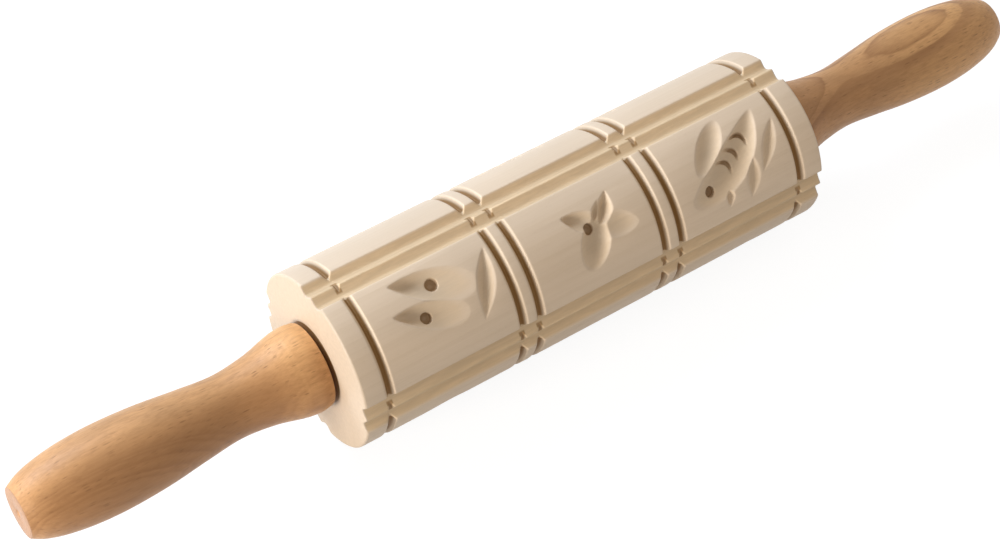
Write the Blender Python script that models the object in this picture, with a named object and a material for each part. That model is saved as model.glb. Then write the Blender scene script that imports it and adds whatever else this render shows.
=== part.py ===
"""Cookie rolling pin with a carved barrel.

The barrel of pale linden turns on a steel axle in two flanged bushes. A beech handle is
fixed on each end of the axle. Metres, X along the pin, Z up, origin in the middle.
"""

from collections import namedtuple
from math import asin, atan2, cos, hypot, pi, radians, sin, sqrt

import bmesh
import bpy
from mathutils import Vector

# Barrel
BARREL_DIAMETER = 0.060
BARREL_LENGTH = 0.180
BARREL_EDGE = 0.0006

# The barrel has play along its axle and lies against the bush at the right-hand handle.
LEFT_GAP = 0.0015
RIGHT_GAP = 0.0003

# Rings turned round the barrel divide it into three panels, with a band between each two.
PANEL_COUNT = 3
END_BAND_WIDTH = 0.0092
BAND_WIDTH = 0.0067
RING_WIDTH = 0.0034
RING_DEPTH = 0.0022

# Four double grooves run along the barrel, each a W in section with a low crest.
ROW_COUNT = 4
DOUBLE_GROOVE_WIDTH = 0.0118
DOUBLE_GROOVE_PITCH = 0.0065
DOUBLE_GROOVE_DEPTH = 0.0032
CREST_WIDTH = 0.0014
CREST_DROP = 0.0011

# Carving
CARVING_DEPTH = 0.0026
HOLE_DIAMETER = 0.0036
HOLE_DEPTH = 0.0046

# Axle and bushes
AXLE_DIAMETER = 0.008
AXLE_GRIP = 0.045
AXLE_CHAMFER = 0.0006
BUSH_DIAMETER = 0.013
BUSH_LENGTH = 0.016
BUSH_FLANGE_DIAMETER = 0.018
BUSH_FLANGE_THICKNESS = 0.0016
BARREL_BORE_CLEARANCE = 0.001
FIT_CLEARANCE = 0.0003

# Handles
HANDLE_LENGTH = 0.101
HANDLE_DIAMETER = 0.028
CENTRE_MARK_DIAMETER = 0.003
CENTRE_MARK_DEPTH = 0.0012

# Places along the handle from its inner face, and radii, as shares of its length and radius.
HANDLE_SHARES = (
    (0.000, 1.014),
    (0.040, 1.057),
    (0.100, 1.002),
    (0.186, 0.848),
    (0.300, 0.765),
    (0.424, 0.843),
    (0.560, 0.953),
    (0.700, 1.000),
    (0.811, 0.967),
    (0.900, 0.871),
    (0.959, 0.750),
    (1.000, 0.599),
)
HANDLE_STEPS = 22

# Cutters reach past what they cut by OVERRUN, and a stroke's rim lies RIM_LIFT outside the barrel.
OVERRUN = 0.001
RIM_LIFT = 0.00003

BARREL_SEGMENTS = 64
HANDLE_SEGMENTS = 32
BUSH_SEGMENTS = 24
HOLE_SEGMENTS = 12

BARREL_RADIUS = BARREL_DIAMETER / 2
BARREL_MIDDLE = (LEFT_GAP - RIGHT_GAP) / 2
HALF_BETWEEN_HANDLES = (BARREL_LENGTH + LEFT_GAP + RIGHT_GAP) / 2
AXLE_RADIUS = AXLE_DIAMETER / 2
SEAT_RADIUS = BUSH_DIAMETER / 2 + FIT_CLEARANCE
RECESS_RADIUS = BUSH_FLANGE_DIAMETER / 2 + FIT_CLEARANCE
PANEL_LENGTH = (BARREL_LENGTH - 2 * END_BAND_WIDTH - (PANEL_COUNT - 1) * BAND_WIDTH) / PANEL_COUNT
PANEL_PITCH = PANEL_LENGTH + BAND_WIDTH
ROW_ANGLE = 2 * pi / ROW_COUNT

# A panel's half length, and its half height along the curve up to the groove's lip.
PANEL_REACH = PANEL_LENGTH / 2
PANEL_HEIGHT = BARREL_RADIUS * (ROW_ANGLE / 2 - asin(DOUBLE_GROOVE_WIDTH / BARREL_DIAMETER))


# One stroke of the gouge: start and end as shares of PANEL_REACH and PANEL_HEIGHT, half
# width as a share of PANEL_HEIGHT, depth as a share of CARVING_DEPTH, and sideways bow as a
# share of the half width. y runs down the panel as it faces the viewer. A hole has its place
# and its diameter as a share of HOLE_DIAMETER.
Stroke = namedtuple("Stroke", "form x0 y0 x1 y1 width depth bow", defaults=(0.0,))

# The shares of its length where a form is widest and deepest, the powers that shape its two
# ends, from 1 for a pointed end to 0.5 for a round one, the power that shapes its section, from
# 1 for a V to 8 for a slot, and how finely it is made.
Form = namedtuple("Form", "widest_share deepest_share start end section stations sides")
FORM_SHARES = {
    "leaf": Form(0.50, 0.50, 1.00, 1.00, 1, 6, 2),
    "petal": Form(0.56, 0.45, 0.70, 0.50, 2, 8, 4),
    "oval": Form(0.50, 0.50, 0.50, 0.50, 2, 7, 4),
    "nick": Form(0.50, 0.50, 0.50, 0.50, 8, 6, 4),
}


def stroke_list(form, shares):
    """Strokes of one form from rows of shares."""
    return [Stroke(form, *row) for row in shares]


def paired_leaves(place_shares, stem_share, slant_share, width_share, depth_share):
    """Rows of shares for the leaves that leave a stem on both its sides."""
    near_share = 0.08
    far_share = 0.46
    return [
        (x, stem_share + side * near_share, x + slant_share, stem_share + side * far_share,
         width_share, depth_share)
        for x in place_shares
        for side in (-1, 1)
    ]


def two_petals():
    leaf_shares = [(0.88, -0.68, 0.50, 0.47, 0.19, 0.80)]
    petal_shares = [
        (-0.50, -0.84, 0.56, -0.13, 0.30, 0.90),
        (-0.65, -0.31, 0.36, 0.19, 0.27, 0.90),
    ]
    hole_shares = [(0.05, -0.52, 1.14), (-0.21, -0.02, 1.00)]
    return stroke_list("petal", petal_shares) + stroke_list("leaf", leaf_shares), hole_shares


def blossom():
    petal_shares = [
        (-0.29, -0.51, 0.20, -0.06, 0.20, 0.75),
        (0.72, 0.17, 0.14, -0.10, 0.25, 0.45),
        (0.28, -0.38, -0.17, 0.60, 0.30, 1.00),
    ]
    leaf_shares = [
        (0.47, -0.63, 0.11, 0.02, 0.19, 0.95),
        (0.30, -0.54, 0.06, -0.06, 0.09, 0.70),
    ]
    hole_shares = [(0.02, -0.13, 0.94)]
    return stroke_list("petal", petal_shares) + stroke_list("leaf", leaf_shares), hole_shares


def fish_among_leaves():
    petal_shares = [(0.66, -0.77, -0.72, 0.46, 0.38, 1.00, -0.40)]
    oval_shares = [(0.11, -0.91, -0.52, -0.06, 0.24, 0.65)]
    leaf_shares = [
        (0.87, -0.46, 0.43, 0.43, 0.15, 0.55),
        (0.35, 0.04, 0.16, 0.78, 0.14, 0.50),
        (-0.13, 0.38, -0.20, 0.75, 0.09, 0.55),
    ]
    nick_shares = [
        (0.16, -0.49, 0.38, -0.20, 0.045, 2.00, -3.1),
        (0.03, -0.34, 0.20, 0.09, 0.045, 2.05, -2.4),
        (-0.22, -0.18, -0.02, 0.20, 0.045, 2.05, -3.1),
    ]
    hole_shares = [(-0.41, 0.30, 0.94)]
    strokes = stroke_list("petal", petal_shares) + stroke_list("oval", oval_shares)
    strokes += stroke_list("leaf", leaf_shares) + stroke_list("nick", nick_shares)
    return strokes, hole_shares


def apple():
    oval_shares = [(-0.48, -0.04, 0.38, -0.04, 0.42, 0.85)]
    leaf_shares = [(-0.44, 0.02, -0.84, 0.20, 0.06, 0.60), (-0.60, 0.22, -0.28, 0.74, 0.13, 0.70)]
    return stroke_list("oval", oval_shares) + stroke_list("leaf", leaf_shares), []


def wheat_ear():
    stem_share = 0.18
    grain_shares = (-0.24, 0.06, 0.36)
    leaf_shares = [
        (-0.86, stem_share, 0.54, stem_share, 0.05, 0.50),
        (0.58, stem_share, 0.92, stem_share, 0.13, 0.70),
    ]
    leaf_shares += paired_leaves(
        grain_shares, stem_share, slant_share=0.26, width_share=0.12, depth_share=0.70,
    )
    return stroke_list("leaf", leaf_shares), []


def tulip():
    petal_shares = [
        (0.54, -0.36, -0.24, -0.04, 0.20, 0.90),
        (0.54, 0.40, -0.24, 0.10, 0.20, 0.90),
        (0.62, 0.03, -0.32, 0.03, 0.20, 0.95),
    ]
    leaf_shares = [
        (-0.08, 0.03, -0.88, 0.03, 0.06, 0.55),
        (-0.38, -0.28, -0.80, -0.03, 0.12, 0.65),
        (-0.38, 0.36, -0.80, 0.09, 0.12, 0.65),
    ]
    return stroke_list("petal", petal_shares) + stroke_list("leaf", leaf_shares), []


def rosette(petals, reach_share, width_share):
    """Petals round a drilled eye. Shares of height are turned into shares of length."""
    eye_share = 0.16
    depth_share = 0.80
    leaf_shares = []
    for index in range(petals):
        turn = 2 * pi * index / petals
        along = cos(turn) * PANEL_HEIGHT / PANEL_REACH
        across = sin(turn)
        leaf_shares.append((
            eye_share * along, eye_share * across, reach_share * along, reach_share * across,
            width_share, depth_share,
        ))
    return stroke_list("leaf", leaf_shares), [(0.0, 0.0, 1.0)]


def fish():
    petal_shares = [(0.34, 0.00, -0.72, 0.04, 0.36, 1.00)]
    leaf_shares = [
        (0.26, 0.02, 0.76, -0.36, 0.13, 0.80),
        (0.26, 0.02, 0.76, 0.40, 0.13, 0.80),
        (-0.30, -0.40, 0.16, -0.56, 0.12, 0.60),
        (-0.20, 0.44, 0.14, 0.58, 0.10, 0.60),
    ]
    nick_shares = [
        (-0.26, -0.20, -0.26, 0.24, 0.036, 1.50, -2.6),
        (-0.06, -0.18, -0.06, 0.22, 0.036, 1.50, -2.6),
    ]
    strokes = stroke_list("petal", petal_shares) + stroke_list("leaf", leaf_shares)
    return strokes + stroke_list("nick", nick_shares), [(-0.50, -0.02, 0.9)]


def clover():
    petal_shares = [
        (0.00, 0.02, -0.44, -0.30, 0.25, 0.90),
        (0.00, 0.02, 0.44, -0.30, 0.25, 0.90),
        (0.00, 0.06, 0.00, -0.72, 0.25, 0.90),
    ]
    leaf_shares = [(0.00, 0.08, 0.10, 0.80, 0.06, 0.60, 1.0), (0.12, 0.62, 0.54, 0.34, 0.12, 0.60)]
    return stroke_list("petal", petal_shares) + stroke_list("leaf", leaf_shares), []


def cherries():
    oval_shares = [(-0.36, -0.66, 0.02, -0.66, 0.24, 0.95), (0.10, -0.36, 0.52, -0.36, 0.25, 0.95)]
    leaf_shares = [
        (-0.24, -0.58, -0.72, -0.24, 0.05, 0.50),
        (0.16, -0.34, -0.70, -0.20, 0.05, 0.50, 0.8),
        (-0.72, -0.30, -0.60, -0.88, 0.12, 0.70),
    ]
    return stroke_list("oval", oval_shares) + stroke_list("leaf", leaf_shares), []


def fern():
    stem_share = -0.28
    frond_shares = (-0.72, -0.42, -0.12, 0.18)
    leaf_shares = [(-0.88, stem_share, 0.76, stem_share, 0.05, 0.55)]
    leaf_shares += paired_leaves(
        frond_shares, stem_share, slant_share=0.24, width_share=0.10, depth_share=0.65,
    )
    return stroke_list("leaf", leaf_shares), []


def pear():
    petal_shares = [(-0.60, -0.46, 0.34, -0.44, 0.33, 1.00)]
    oval_shares = [(-0.22, -0.45, 0.42, -0.45, 0.33, 1.00)]
    leaf_shares = [
        (-0.54, -0.46, -0.86, -0.34, 0.05, 0.60),
        (-0.84, -0.32, -0.66, 0.20, 0.11, 0.70),
        (0.50, -0.84, 0.84, -0.24, 0.12, 0.60),
    ]
    strokes = stroke_list("petal", petal_shares) + stroke_list("oval", oval_shares)
    return strokes + stroke_list("leaf", leaf_shares), []


# The rows are listed from the one that faces the viewer, downwards round the barrel.
ROWS = (
    (two_petals(), blossom(), fish_among_leaves()),
    (apple(), wheat_ear(), tulip()),
    (rosette(petals=8, reach_share=0.74, width_share=0.13), fish(), clover()),
    (cherries(), fern(), pear()),
)


def material(name, colour, roughness, metallic=0.0):
    made = bpy.data.materials.new(name)
    made.use_nodes = True
    shader = made.node_tree.nodes["Principled BSDF"]
    shader.inputs["Base Color"].default_value = (*colour, 1.0)
    shader.inputs["Roughness"].default_value = roughness
    shader.inputs["Metallic"].default_value = metallic
    return made


def new_object(name, bm, surface=None, parent=None, place=0.0, turn=0.0):
    """Make an object from a bmesh, at a place along X and turned about Z."""
    mesh = bpy.data.meshes.new(name)
    bm.to_mesh(mesh)
    bm.free()
    made = bpy.data.objects.new(name, mesh)
    bpy.context.scene.collection.objects.link(made)
    made.location.x = place
    made.rotation_euler.z = turn
    made.parent = parent
    if surface:
        mesh.materials.append(surface)
        mesh.shade_smooth()
        mesh.set_sharp_from_angle(angle=radians(30))
    return made


def axis_empty(name, place):
    made = bpy.data.objects.new(name, None)
    bpy.context.scene.collection.objects.link(made)
    made.location.x = place
    return made


def turned(outline, segments, closed=False):
    """Spin an outline of (x, radius) points about the X axis into one closed solid."""
    bm = bmesh.new()
    points = [bm.verts.new((x, 0, radius)) for x, radius in outline]
    pairs = list(zip(points, points[1:]))
    if closed:
        pairs.append((points[-1], points[0]))
    edges = [bm.edges.new(pair) for pair in pairs]
    bmesh.ops.spin(
        bm, geom=points + edges, cent=(0, 0, 0), axis=(1, 0, 0),
        angle=2 * pi, steps=segments, use_merge=True,
    )
    bmesh.ops.remove_doubles(bm, verts=bm.verts, dist=RIM_LIFT / 10)
    bmesh.ops.recalc_face_normals(bm, faces=bm.faces)
    return bm


def smooth_curve(points, steps):
    """Points at even steps along a cubic curve through the given points."""
    slopes = []
    for index in range(len(points)):
        before = points[max(index - 1, 0)]
        after = points[min(index + 1, len(points) - 1)]
        slopes.append((after[1] - before[1]) / (after[0] - before[0]))
    start = points[0][0]
    reach = points[-1][0] - start
    curve = []
    piece = 0
    for step in range(steps + 1):
        x = start + reach * step / steps
        while piece < len(points) - 2 and x > points[piece + 1][0]:
            piece += 1
        (x0, y0), (x1, y1) = points[piece], points[piece + 1]
        width = x1 - x0
        t = (x - x0) / width
        y = (
            y0 * (1 + 2 * t) * (1 - t) ** 2 + y1 * t * t * (3 - 2 * t)
            + slopes[piece] * width * t * (1 - t) ** 2 - slopes[piece + 1] * width * t * t * (1 - t)
        )
        curve.append((x, y))
    return curve


def handle_outline():
    """From the bottom of the blind hole, out round the handle, to its end on the axis."""
    hole_radius = AXLE_RADIUS + FIT_CLEARANCE
    outline = [(AXLE_GRIP + FIT_CLEARANCE, 0), (AXLE_GRIP + FIT_CLEARANCE, hole_radius), (0, hole_radius)]
    knots = [(x * HANDLE_LENGTH, r * HANDLE_DIAMETER / 2) for x, r in HANDLE_SHARES]
    outline += smooth_curve(knots, HANDLE_STEPS)
    outline += [(HANDLE_LENGTH, CENTRE_MARK_DIAMETER / 2), (HANDLE_LENGTH - CENTRE_MARK_DEPTH, 0)]
    return outline


def bush_outline():
    """From its flange's face, at x = 0, inwards."""
    bore = AXLE_RADIUS + FIT_CLEARANCE
    return [
        (0, bore),
        (0, BUSH_FLANGE_DIAMETER / 2),
        (BUSH_FLANGE_THICKNESS, BUSH_FLANGE_DIAMETER / 2),
        (BUSH_FLANGE_THICKNESS, BUSH_DIAMETER / 2),
        (BUSH_LENGTH, BUSH_DIAMETER / 2),
        (BUSH_LENGTH, bore),
    ]


def axle_outline():
    half = HALF_BETWEEN_HANDLES + AXLE_GRIP
    right_half = [(half - AXLE_CHAMFER, AXLE_RADIUS), (half, AXLE_RADIUS - AXLE_CHAMFER), (half, 0)]
    left_half = [(-x, radius) for x, radius in reversed(right_half)]
    return left_half + right_half


def ring_places():
    """Middles of the turned rings, from left to right."""
    places = []
    for index in range(PANEL_COUNT):
        middle = (index - (PANEL_COUNT - 1) / 2) * PANEL_PITCH
        places += [middle - PANEL_REACH, middle + PANEL_REACH]
    return places


def barrel_outline():
    """The bored barrel with its rings, as one loop of (x, radius)."""
    end = BARREL_LENGTH / 2
    recess = BUSH_FLANGE_THICKNESS + FIT_CLEARANCE
    seat = BUSH_LENGTH + FIT_CLEARANCE
    bore = AXLE_RADIUS + BARREL_BORE_CLEARANCE
    right_bore = [(end - seat, bore), (end - seat, SEAT_RADIUS), (end - recess, SEAT_RADIUS)]
    right_bore += [(end - recess, RECESS_RADIUS), (end, RECESS_RADIUS)]
    left_bore = [(-x, radius) for x, radius in reversed(right_bore)]
    outside = [(-end, BARREL_RADIUS - BARREL_EDGE), (-end + BARREL_EDGE, BARREL_RADIUS)]
    for place in ring_places():
        outside += [
            (place - RING_WIDTH / 2, BARREL_RADIUS),
            (place, BARREL_RADIUS - RING_DEPTH),
            (place + RING_WIDTH / 2, BARREL_RADIUS),
        ]
    outside += [(end - BARREL_EDGE, BARREL_RADIUS), (end, BARREL_RADIUS - BARREL_EDGE)]
    return left_bore + right_bore + list(reversed(outside))


def on_barrel(x, angle, radius):
    """A point at an angle from the top of the barrel towards the viewer's side."""
    return Vector((x, -radius * sin(angle), radius * cos(angle)))


def loft(loops):
    """One closed solid through loops of as many points each."""
    bm = bmesh.new()
    rings = [[bm.verts.new(point) for point in loop] for loop in loops]
    count = len(rings[0])
    for near, far in zip(rings, rings[1:]):
        for index in range(count):
            after = (index + 1) % count
            bm.faces.new((near[index], near[after], far[after], far[index]))
    bm.faces.new(rings[0])
    bm.faces.new(list(reversed(rings[-1])))
    bmesh.ops.triangulate(bm, faces=bm.faces)
    bmesh.ops.recalc_face_normals(bm, faces=bm.faces)
    return bm


def double_groove(angle):
    """The W-shaped prism along the barrel at an angle from its top."""
    top = BARREL_RADIUS + OVERRUN
    half = DOUBLE_GROOVE_WIDTH / 2
    valley = DOUBLE_GROOVE_PITCH / 2
    lip_height = sqrt(BARREL_RADIUS ** 2 - half ** 2)
    valley_height = BARREL_RADIUS - DOUBLE_GROOVE_DEPTH
    slope = (half - valley) / (lip_height - valley_height)
    top_half = half + (top - lip_height) * slope
    crest = (CREST_WIDTH / 2, BARREL_RADIUS - CREST_DROP)
    right_side = [crest, (valley, valley_height), (top_half, top)]
    section = [(-y, z) for y, z in reversed(right_side)] + right_side
    end = BARREL_LENGTH / 2 + OVERRUN
    loops = []
    for x in (-end, end):
        loops.append([on_barrel(x, angle + atan2(y, z), hypot(y, z)) for y, z in section])
    return loft(loops)


def width_at(form, t):
    """Half width along a stroke as a share of its largest."""
    if t <= form.widest_share:
        return sin(pi / 2 * t / form.widest_share) ** form.start
    return max(sin(pi / 2 * (1 - t) / (1 - form.widest_share)), 0) ** form.end


def depth_at(form, t):
    """Depth along a stroke as a share of its largest."""
    if t <= form.deepest_share:
        return sin(pi / 2 * t / form.deepest_share)
    return 1 - ((t - form.deepest_share) / (1 - form.deepest_share)) ** 2


def gouge(stroke, row_angle, panel_middle):
    """The solid that one stroke of the gouge takes out of the barrel."""
    form = FORM_SHARES[stroke.form]
    start = Vector((stroke.x0 * PANEL_REACH, stroke.y0 * PANEL_HEIGHT))
    finish = Vector((stroke.x1 * PANEL_REACH, stroke.y1 * PANEL_HEIGHT))
    along = finish - start
    side = Vector((-along.y, along.x)).normalized()
    half_width = stroke.width * PANEL_HEIGHT
    loops = []
    for station in range(form.stations + 1):
        t = (1 - cos(pi * station / form.stations)) / 2
        middle = start + along * t + side * (stroke.bow * half_width * 4 * t * (1 - t))
        reach = max(width_at(form, t) * half_width, RIM_LIFT)
        deepest = depth_at(form, t) * stroke.depth * CARVING_DEPTH
        loop = []
        for step in range(form.sides + 1):
            u = 2 * step / form.sides - 1
            depth = deepest * (1 - abs(u) ** form.section) - RIM_LIFT
            point = middle + side * u * reach
            loop.append((point, BARREL_RADIUS - depth))
        lid_radius = (BARREL_RADIUS + OVERRUN) / cos(reach / BARREL_RADIUS)
        loop.append((middle + side * reach, lid_radius))
        loop.append((middle - side * reach, lid_radius))
        loops.append([
            on_barrel(panel_middle + point.x, row_angle + point.y / BARREL_RADIUS, radius)
            for point, radius in loop
        ])
    return loft(loops)


def drilled_hole(hole_shares, row_angle, panel_middle):
    """A drill that stands square to the barrel's surface."""
    x_share, y_share, diameter_share = hole_shares
    x = panel_middle + x_share * PANEL_REACH
    angle = row_angle + y_share * PANEL_HEIGHT / BARREL_RADIUS
    hole_radius = diameter_share * HOLE_DIAMETER / 2
    outward = on_barrel(0, angle, 1)
    sideways = on_barrel(0, angle + pi / 2, 1)
    along = Vector((1, 0, 0))
    loops = []
    for radius in (BARREL_RADIUS - HOLE_DEPTH, BARREL_RADIUS + OVERRUN):
        centre = along * x + outward * radius
        loops.append([
            centre + (along * cos(turn) + sideways * sin(turn)) * hole_radius
            for turn in (2 * pi * index / HOLE_SEGMENTS for index in range(HOLE_SEGMENTS))
        ])
    return loft(loops)


def cut(target, name, cutters, parent):
    """Take a group of cutters out of the target with one Boolean."""
    group = bpy.data.collections.new(name)
    bpy.context.scene.collection.children.link(group)
    for index, bm in enumerate(cutters):
        cutter = new_object(f"{name}_{index}", bm, parent=parent)
        bpy.context.scene.collection.objects.unlink(cutter)
        group.objects.link(cutter)
        cutter.hide_render = True
        cutter.display_type = "WIRE"
    step = target.modifiers.new(name, "BOOLEAN")
    step.operation = "DIFFERENCE"
    step.operand_type = "COLLECTION"
    step.collection = group
    step.solver = "EXACT"


def build_barrel(axis, surface):
    barrel = new_object("barrel", turned(barrel_outline(), BARREL_SEGMENTS, closed=True), surface, axis)
    grooves = [double_groove(index * ROW_ANGLE) for index in range(ROW_COUNT)]
    cut(barrel, "double_groove", grooves, axis)
    strokes = []
    holes = []
    for row_index, row in enumerate(ROWS):
        row_angle = (row_index + 0.5) * ROW_ANGLE
        for panel_index, (panel_strokes, panel_holes) in enumerate(row):
            panel_middle = (panel_index - (PANEL_COUNT - 1) / 2) * PANEL_PITCH
            strokes += [gouge(stroke, row_angle, panel_middle) for stroke in panel_strokes]
            holes += [drilled_hole(hole, row_angle, panel_middle) for hole in panel_holes]
    cut(barrel, "gouge_stroke", strokes, axis)
    cut(barrel, "drilled_hole", holes, axis)
    return barrel


def main():
    for old in list(bpy.data.objects):
        bpy.data.objects.remove(old)

    linden = material("linden", (0.80, 0.66, 0.48), 0.6)
    beech = material("beech", (0.60, 0.34, 0.16), 0.5)
    steel = material("steel", (0.62, 0.62, 0.60), 0.3, 1.0)
    nylon = material("nylon", (0.12, 0.11, 0.10), 0.5)

    roller_axis = axis_empty("roller_axis", BARREL_MIDDLE)
    spindle_axis = axis_empty("spindle_axis", 0.0)

    build_barrel(roller_axis, linden)
    new_object("axle", turned(axle_outline(), BUSH_SEGMENTS), steel, spindle_axis)
    for side_name, side, turn in (("left", -1, 0.0), ("right", 1, pi)):
        bush = turned(bush_outline(), BUSH_SEGMENTS, closed=True)
        new_object(f"bush_{side_name}", bush, nylon, roller_axis, side * BARREL_LENGTH / 2, turn)
        handle = turned(handle_outline(), HANDLE_SEGMENTS)
        new_object(f"handle_{side_name}", handle, beech, spindle_axis, side * HALF_BETWEEN_HANDLES, pi - turn)


main()
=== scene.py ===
"""The looks of a cookie rolling pin: its carved barrel, its turned handles, their woods and a stage."""

from collections import namedtuple
from math import asin, cos, pi, radians, sin, sqrt

import bpy
from bpy.props import FloatProperty, FloatVectorProperty, PointerProperty
from mathutils import Matrix, Vector


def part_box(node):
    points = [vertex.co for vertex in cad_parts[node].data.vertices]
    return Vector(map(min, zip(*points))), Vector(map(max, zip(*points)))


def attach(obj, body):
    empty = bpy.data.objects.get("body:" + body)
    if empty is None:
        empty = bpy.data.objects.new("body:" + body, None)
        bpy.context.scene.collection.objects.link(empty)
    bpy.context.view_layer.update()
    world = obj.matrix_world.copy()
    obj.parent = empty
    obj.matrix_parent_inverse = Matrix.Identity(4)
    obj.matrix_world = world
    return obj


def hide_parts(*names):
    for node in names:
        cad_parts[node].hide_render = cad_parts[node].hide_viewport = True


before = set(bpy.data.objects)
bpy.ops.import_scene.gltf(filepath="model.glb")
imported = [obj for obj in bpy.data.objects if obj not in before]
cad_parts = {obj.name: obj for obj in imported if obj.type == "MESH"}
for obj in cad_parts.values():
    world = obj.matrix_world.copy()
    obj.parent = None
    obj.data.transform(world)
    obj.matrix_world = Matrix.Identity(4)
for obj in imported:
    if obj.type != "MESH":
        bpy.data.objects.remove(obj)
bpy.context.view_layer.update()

bl_info = {
    "name": "Cookie rolling pin",
    "version": (1, 0, 0),
    "blender": (4, 5, 0),
    "location": "3D View > Sidebar > Rolling pin",
    "description": "Models and finishes a carved rolling pin for pressed biscuits",
    "category": "Add Mesh",
}

# The boxes of the solids, and how the barrel is divided
BARREL_LOW, BARREL_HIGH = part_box("barrel")
LEFT_HANDLE_LOW, LEFT_HANDLE_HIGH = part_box("handle_left")
BUSH_LOW, BUSH_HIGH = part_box("bush_left")
BARREL_LENGTH = BARREL_HIGH.x - BARREL_LOW.x
BARREL_MIDDLE = (BARREL_HIGH.x + BARREL_LOW.x) / 2

PANEL_COUNT = 3
ROW_COUNT = 4
ROW_ANGLE = 2 * pi / ROW_COUNT


def length_setting(name, description, default):
    return FloatProperty(name=name, description=description, default=default, unit="LENGTH")


def colour_setting(name, description, default):
    return FloatVectorProperty(
        name=name, description=description, default=default, subtype="COLOR", min=0.0, max=1.0
    )


class PinSizes(bpy.types.PropertyGroup):
    """Sizes of the turned and carved wood."""

    barrel_diameter: length_setting("Barrel diameter", "Across the barrel's uncut panels", 0.060)
    barrel_edge: length_setting("Barrel edge", "Chamfer at the barrel's ends", 0.0004)
    end_band: length_setting("End band", "From the barrel's end to its first ring", 0.0092)
    band: length_setting("Band", "Between the rings of two neighbouring panels", 0.0067)
    ring_width: length_setting("Ring width", "Across a turned ring's mouth", 0.0034)
    ring_depth: length_setting("Ring depth", "To the bottom of a turned ring", 0.0022)
    groove_width: length_setting("Double groove width", "Across both valleys of a long groove", 0.0118)
    groove_pitch: length_setting("Double groove pitch", "From valley to valley", 0.0065)
    groove_depth: length_setting("Double groove depth", "To the bottom of its valleys", 0.0027)
    crest_width: length_setting("Crest width", "Flat top between the two valleys", 0.0005)
    crest_drop: length_setting("Crest drop", "How far the crest lies below the surface", 0.00075)
    carving_depth: length_setting("Carving depth", "Of the deepest gouge strokes", 0.0026)
    hole_diameter: length_setting("Hole diameter", "Of the drilled eyes and seeds", 0.0036)
    hole_depth: length_setting("Hole depth", "Of the drilled eyes and seeds", 0.0046)
    softness: length_setting("Edge softness", "Grain of the sanding of the carved edges", 0.00025)
    handle_diameter: length_setting("Handle diameter", "Across the widest part of a handle", 0.028)
    centre_mark: length_setting("Centre mark", "Across the turning mark in a handle's end", 0.003)


class PinColours(bpy.types.PropertyGroup):
    """Colours of the woods and fittings."""

    linden: colour_setting("Linden", "Sanded face of the barrel", (0.735, 0.567, 0.405))
    linden_end: colour_setting("Linden end grain", "Ends of the barrel", (0.575, 0.445, 0.320))
    linden_cut: colour_setting("Cut linden", "Walls and floors of the cuts", (0.70, 0.50, 0.29))
    # Painted shade for the bottoms of the rings, holes and notches, and painted shadow on the barrel's
    # ends behind the handles
    linden_painted_shade: colour_setting("Shaded linden", "Shadowed rings, shadowed ends", (0.255, 0.117, 0.019))
    beech: colour_setting("Beech", "Light wood between the growth lines", (0.585, 0.300, 0.118))
    beech_pale: colour_setting("Pale beech", "Lighter part of each handle", (0.88, 0.48, 0.185))
    # Also the colour of the dark streak, which is partly heart and partly painted core shade
    beech_dark: colour_setting("Dark beech", "Growth lines and flecks", (0.29, 0.122, 0.037))
    beech_end: colour_setting("Beech end grain", "Sawn ends of the handles", (0.40, 0.212, 0.108))
    steel: colour_setting("Steel", "Axle", (0.62, 0.61, 0.59))
    nylon: colour_setting("Nylon", "Bushes", (0.05, 0.045, 0.04))


class PinStudio(bpy.types.PropertyGroup):
    """Lamps and background."""

    key_power: FloatProperty(
        name="Key lamp", description="Soft lamp behind the pin, beyond its near handle",
        default=6.2, unit="POWER",
    )
    back_power: FloatProperty(
        name="Back lamp", description="Soft lamp behind and above the pin", default=6.0, unit="POWER",
    )
    side_power: FloatProperty(
        name="Side lamp", description="Low lamp beyond the near handle, along the pin",
        default=10.0, unit="POWER",
    )
    fill_strength: FloatProperty(
        name="Fill", description="Even light from all round", default=0.48,
    )
    floor_glow: FloatProperty(
        name="Floor glow", description="How far the camera sees the floor lifted towards white",
        default=0.90,
    )


# One stroke of the gouge: its form, its start and end as shares of a panel's half length and
# half height, its half width as a share of the half height, its depth as a share of the carving
# depth, and its sideways bow as a share of its half width. y runs down the panel as it faces
# the viewer.
Stroke = namedtuple("Stroke", "form x0 y0 x1 y1 width depth bow", defaults=(0.0,))

# The shares of its length where a form is widest and deepest, the powers that shape its two
# ends, the power of its section, from 1 for a V to 8 for a slot, and the power with which its
# floor rises towards its far end.
Form = namedtuple("Form", "widest deepest start end section run_out", defaults=(2.0,))
FORMS = {
    "leaf": Form(0.50, 0.50, 1.00, 1.00, 1),
    "petal": Form(0.58, 0.45, 0.70, 0.44, 2),
    "scoop": Form(0.65, 0.24, 0.85, 0.45, 2, 1.15),
    "oval": Form(0.50, 0.50, 0.50, 0.50, 2),
    "nick": Form(0.50, 0.50, 0.30, 0.30, 8),
}


def strokes_of(form, rows):
    """Strokes of one form from rows of shares."""
    return [Stroke(form, *row) for row in rows]


def paired_leaves(places, stem, slant, width, depth, foot=0.08, tip=0.46):
    """Rows of shares for the leaves that leave a stem on both its sides."""
    return [
        (x, stem + side * foot, x + slant, stem + side * tip, width, depth)
        for x in places
        for side in (-1, 1)
    ]


# Motifs. Each gives its strokes, and its drilled holes as (x, y, diameter) shares.
def two_petals():
    strokes = strokes_of("leaf", [(0.885, -0.72, 0.495, 0.50, 0.19, 0.80)])
    strokes += strokes_of("scoop", [
        (-0.50, -0.82, 0.59, -0.17, 0.34, 1.00),
        (-0.635, -0.285, 0.355, 0.22, 0.285, 1.00),
    ])
    return strokes, [(0.05, -0.52, 1.16), (-0.21, -0.01, 1.04)]


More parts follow.
